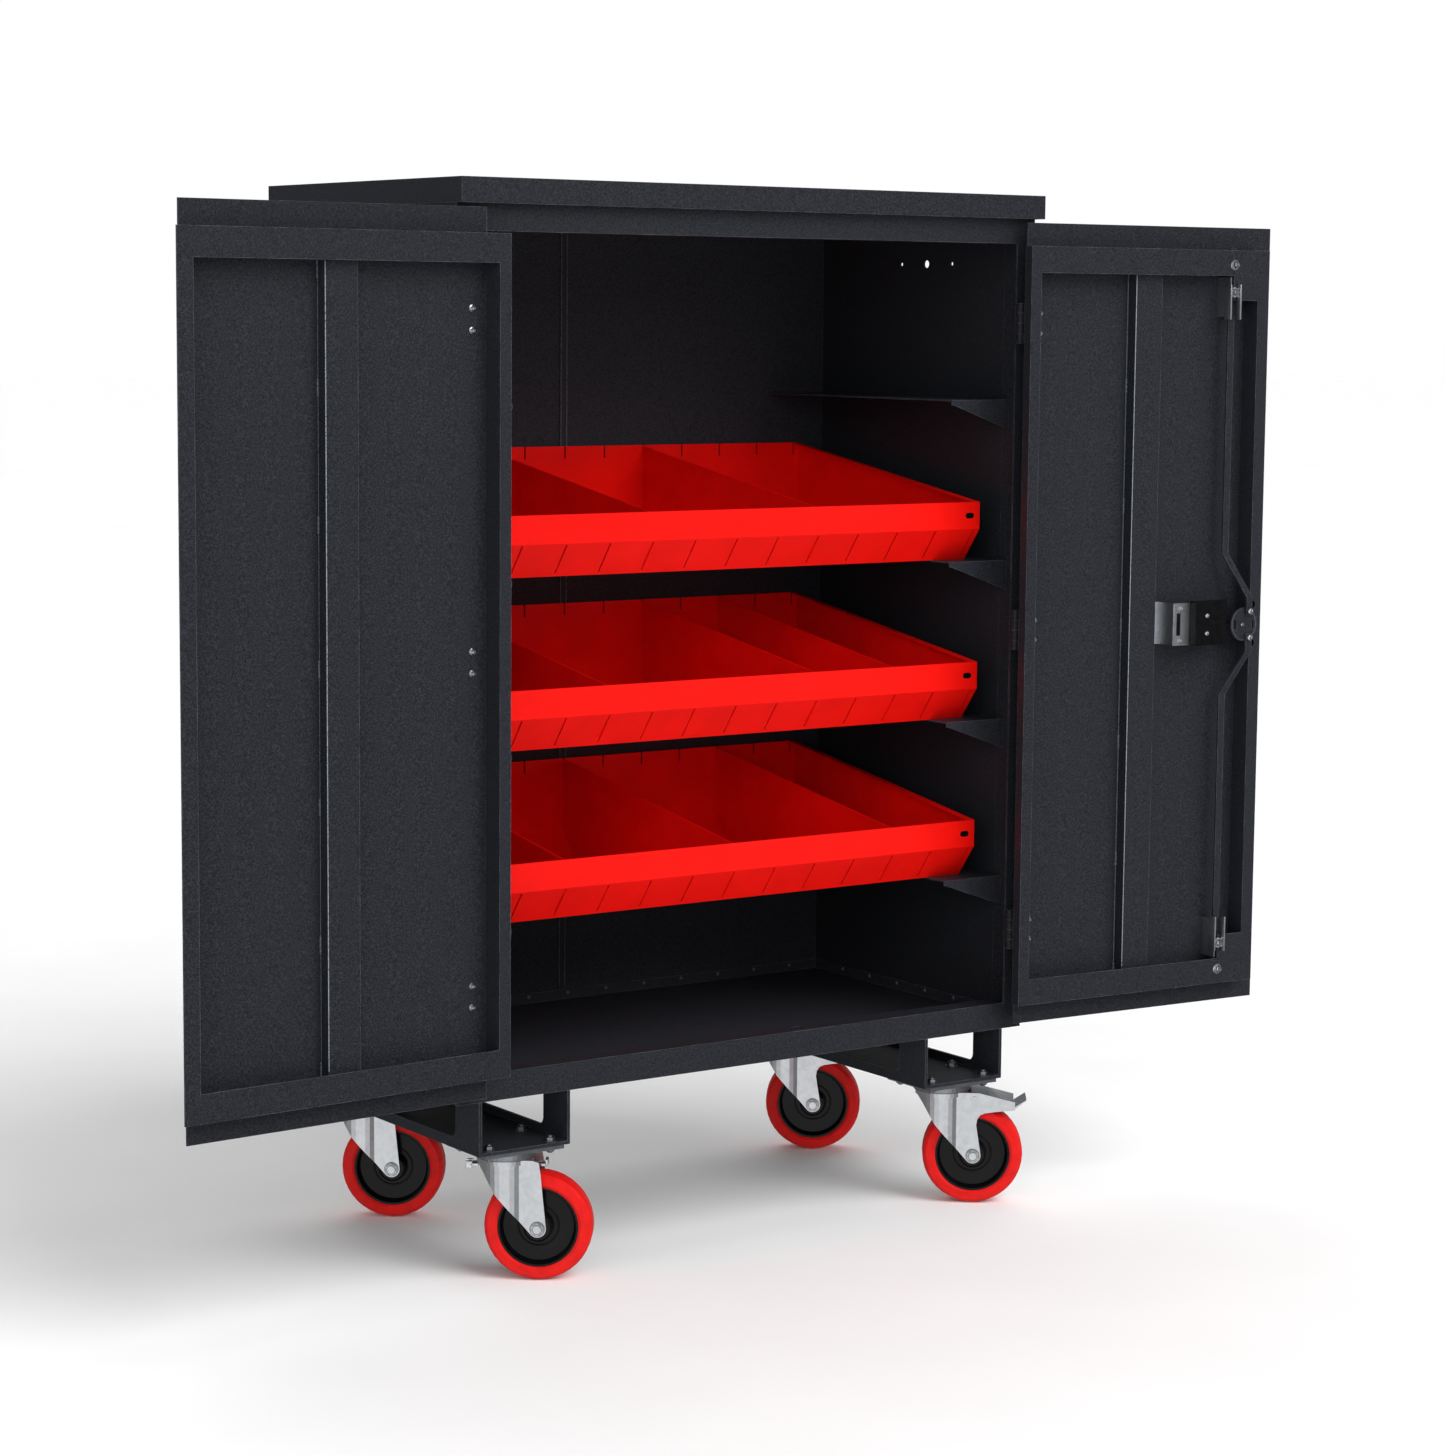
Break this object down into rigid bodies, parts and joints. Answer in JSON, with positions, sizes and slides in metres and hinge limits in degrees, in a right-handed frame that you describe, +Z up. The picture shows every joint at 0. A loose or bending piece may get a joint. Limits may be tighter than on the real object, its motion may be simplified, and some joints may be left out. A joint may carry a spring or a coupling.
{
  "type": "rolling tool cabinet",
  "caption": "Mobile steel tool cabinet with two open doors, sliding divider trays, a rod lock and swivel castors.",
  "frame": {"origin": "on the floor under the middle of the bounding box, as the doors stand open at rest", "axes": "+X along the width towards the lock door, -Y out of the front, +Z up"},
  "size_m": [1.9742, 0.6562, 1.5985],
  "materials": {
    "anthracite_powder_coat": "fine textured satin powder coat",
    "red_powder_coat": "smooth semi-gloss powder coat",
    "zinc_plated": "bright zinc plating",
    "red_tread": "satin polyurethane",
    "black_plastic": "gloss moulded"
  },
  "bodies": {
    "cabinet": {"back_panel": "anthracite_powder_coat", "castor_plate_back_left": "zinc_plated", "castor_plate_back_right": "zinc_plated", "castor_plate_front_left": "zinc_plated", "castor_plate_front_right": "zinc_plated", "floor_panel": "anthracite_powder_coat", "front_frame": "anthracite_powder_coat", "ledge_left_1": "anthracite_powder_coat", "ledge_left_2": "anthracite_powder_coat", "ledge_left_3": "anthracite_powder_coat", "ledge_left_4": "anthracite_powder_coat", "ledge_right_1": "anthracite_powder_coat", "ledge_right_2": "anthracite_powder_coat", "ledge_right_3": "anthracite_powder_coat", "ledge_right_4": "anthracite_powder_coat", "side_panel_left": "anthracite_powder_coat", "side_panel_right": "anthracite_powder_coat", "skid_left": "anthracite_powder_coat", "skid_right": "anthracite_powder_coat", "top_cap": "anthracite_powder_coat"},
    "left_door": {"left_door_frame": "anthracite_powder_coat", "left_door_skin": "anthracite_powder_coat", "left_door_stiffener": "anthracite_powder_coat"},
    "right_door": {"right_door_frame": "anthracite_powder_coat", "right_door_skin": "anthracite_powder_coat", "right_door_stiffener": "anthracite_powder_coat", "lock_bracket": "zinc_plated", "lock_case": "black_plastic", "rod_guide_lower": "zinc_plated", "rod_guide_upper": "zinc_plated"},
    "lock_handle": {"lock_cam": "zinc_plated", "door_handle": "zinc_plated"},
    "upper_rod_body": {"upper_rod": "zinc_plated"},
    "lower_rod_body": {"lower_rod": "zinc_plated"},
    "tray_upper_body": {"tray_upper": "red_powder_coat"},
    "tray_middle_body": {"tray_middle": "red_powder_coat"},
    "tray_lower_body": {"tray_lower": "red_powder_coat"},
    "divider_lower_1_body": {"divider_lower_1": "red_powder_coat"},
    "divider_lower_2_body": {"divider_lower_2": "red_powder_coat"},
    "divider_lower_3_body": {"divider_lower_3": "red_powder_coat"},
    "divider_middle_1_body": {"divider_middle_1": "red_powder_coat"},
    "divider_middle_2_body": {"divider_middle_2": "red_powder_coat"},
    "divider_middle_3_body": {"divider_middle_3": "red_powder_coat"},
    "divider_upper_1_body": {"divider_upper_1": "red_powder_coat"},
    "divider_upper_2_body": {"divider_upper_2": "red_powder_coat"},
    "swivel_front_left": {"castor_fork_front_left": "zinc_plated"},
    "wheel_front_left": {"hub_front_left": "black_plastic", "tyre_front_left": "red_tread"},
    "swivel_back_left": {"castor_fork_back_left": "zinc_plated"},
    "wheel_back_left": {"hub_back_left": "black_plastic", "tyre_back_left": "red_tread"},
    "swivel_front_right": {"castor_fork_front_right": "zinc_plated"},
    "wheel_front_right": {"hub_front_right": "black_plastic", "tyre_front_right": "red_tread"},
    "pedal_front_right": {"brake_pedal_front_right": "zinc_plated"},
    "swivel_back_right": {"castor_fork_back_right": "zinc_plated"},
    "wheel_back_right": {"hub_back_right": "black_plastic", "tyre_back_right": "red_tread"},
    "pedal_back_right": {"brake_pedal_back_right": "zinc_plated"}
  },
  "joints": [
    {"name": "left_door_hinge", "type": "hinge", "parent": "cabinet", "child": "left_door", "pos_m": [-0.47901, -0.23566, 0.921], "axis": [0, 0, -1], "range_deg": [-176.9, 3.1]},
    {"name": "right_door_hinge", "type": "hinge", "parent": "cabinet", "child": "right_door", "pos_m": [0.49999, -0.23566, 0.921], "axis": [0, 0, 1], "range_deg": [-176.35, 3.65]},
    {"name": "handle_turn", "type": "hinge", "parent": "right_door", "child": "lock_handle", "pos_m": [0.91937, -0.27444, 0.918], "axis": [0.0637, 0.998, 0], "range_deg": [-30, 45]},
    {"name": "upper_rod_slide", "type": "slide", "parent": "right_door", "child": "upper_rod_body", "axis": [0, 0, 1], "range_m": [-0.0142, 0.0095]},
    {"name": "lower_rod_slide", "type": "slide", "parent": "right_door", "child": "lower_rod_body", "axis": [0, 0, 1], "range_m": [-0.0095, 0.0142]},
    {"name": "tray_upper_slide", "type": "slide", "parent": "cabinet", "child": "tray_upper_body", "axis": [0, -1, 0], "range_m": [0, 0.4]},
    {"name": "tray_middle_slide", "type": "slide", "parent": "cabinet", "child": "tray_middle_body", "axis": [0, -1, 0], "range_m": [0, 0.4]},
    {"name": "tray_lower_slide", "type": "slide", "parent": "cabinet", "child": "tray_lower_body", "axis": [0, -1, 0], "range_m": [0, 0.4]},
    {"name": "divider_lower_1_lift", "type": "slide", "parent": "tray_lower_body", "child": "divider_lower_1_body", "axis": [0, 0, 1], "range_m": [0, 0.08]},
    {"name": "divider_lower_2_lift", "type": "slide", "parent": "tray_lower_body", "child": "divider_lower_2_body", "axis": [0, 0, 1], "range_m": [0, 0.08]},
    {"name": "divider_lower_3_lift", "type": "slide", "parent": "tray_lower_body", "child": "divider_lower_3_body", "axis": [0, 0, 1], "range_m": [0, 0.08]},
    {"name": "divider_middle_1_lift", "type": "slide", "parent": "tray_middle_body", "child": "divider_middle_1_body", "axis": [0, 0, 1], "range_m": [0, 0.08]},
    {"name": "divider_middle_2_lift", "type": "slide", "parent": "tray_middle_body", "child": "divider_middle_2_body", "axis": [0, 0, 1], "range_m": [0, 0.08]},
    {"name": "divider_middle_3_lift", "type": "slide", "parent": "tray_middle_body", "child": "divider_middle_3_body", "axis": [0, 0, 1], "range_m": [0, 0.08]},
    {"name": "divider_upper_1_lift", "type": "slide", "parent": "tray_upper_body", "child": "divider_upper_1_body", "axis": [0, 0, 1], "range_m": [0, 0.08]},
    {"name": "divider_upper_2_lift", "type": "slide", "parent": "tray_upper_body", "child": "divider_upper_2_body", "axis": [0, 0, 1], "range_m": [0, 0.08]},
    {"name": "swivel_front_left_turn", "type": "hinge", "parent": "cabinet", "child": "swivel_front_left", "pos_m": [-0.39921, -0.16866, 0.19], "axis": [0, 0, 1], "continuous": true},
    {"name": "wheel_front_left_spin", "type": "hinge", "parent": "swivel_front_left", "child": "wheel_front_left", "pos_m": [-0.35931, -0.19928, 0.08], "axis": [0.6088, 0.7934, 0], "continuous": true},
    {"name": "swivel_back_left_turn", "type": "hinge", "parent": "cabinet", "child": "swivel_back_left", "pos_m": [-0.39921, 0.25994, 0.19], "axis": [0, 0, 1], "continuous": true},
    {"name": "wheel_back_left_spin", "type": "hinge", "parent": "swivel_back_left", "child": "wheel_back_left", "pos_m": [-0.35931, 0.22932, 0.08], "axis": [0.6088, 0.7934, 0], "continuous": true},
    {"name": "swivel_front_right_turn", "type": "hinge", "parent": "cabinet", "child": "swivel_front_right", "pos_m": [0.42019, -0.16866, 0.19], "axis": [0, 0, 1], "continuous": true},
    {"name": "wheel_front_right_spin", "type": "hinge", "parent": "swivel_front_right", "child": "wheel_front_right", "pos_m": [0.46009, -0.19928, 0.08], "axis": [0.6088, 0.7934, 0], "continuous": true},
    {"name": "pedal_front_right_press", "type": "hinge", "parent": "swivel_front_right", "child": "pedal_front_right", "pos_m": [0.46144, -0.20032, 0.1736], "axis": [0.6088, 0.7934, 0], "range_deg": [0, 12]},
    {"name": "swivel_back_right_turn", "type": "hinge", "parent": "cabinet", "child": "swivel_back_right", "pos_m": [0.42019, 0.25994, 0.19], "axis": [0, 0, 1], "continuous": true},
    {"name": "wheel_back_right_spin", "type": "hinge", "parent": "swivel_back_right", "child": "wheel_back_right", "pos_m": [0.46009, 0.22932, 0.08], "axis": [0.6088, 0.7934, 0], "continuous": true},
    {"name": "pedal_back_right_press", "type": "hinge", "parent": "swivel_back_right", "child": "pedal_back_right", "pos_m": [0.46144, 0.22828, 0.1736], "axis": [0.6088, 0.7934, 0], "range_deg": [0, 12]}
  ],
  "couplings": [
    {"joint": "upper_rod_slide", "follows": "handle_turn", "m_per_rad": -0.018},
    {"joint": "lower_rod_slide", "follows": "handle_turn", "m_per_rad": 0.018}
  ]
}
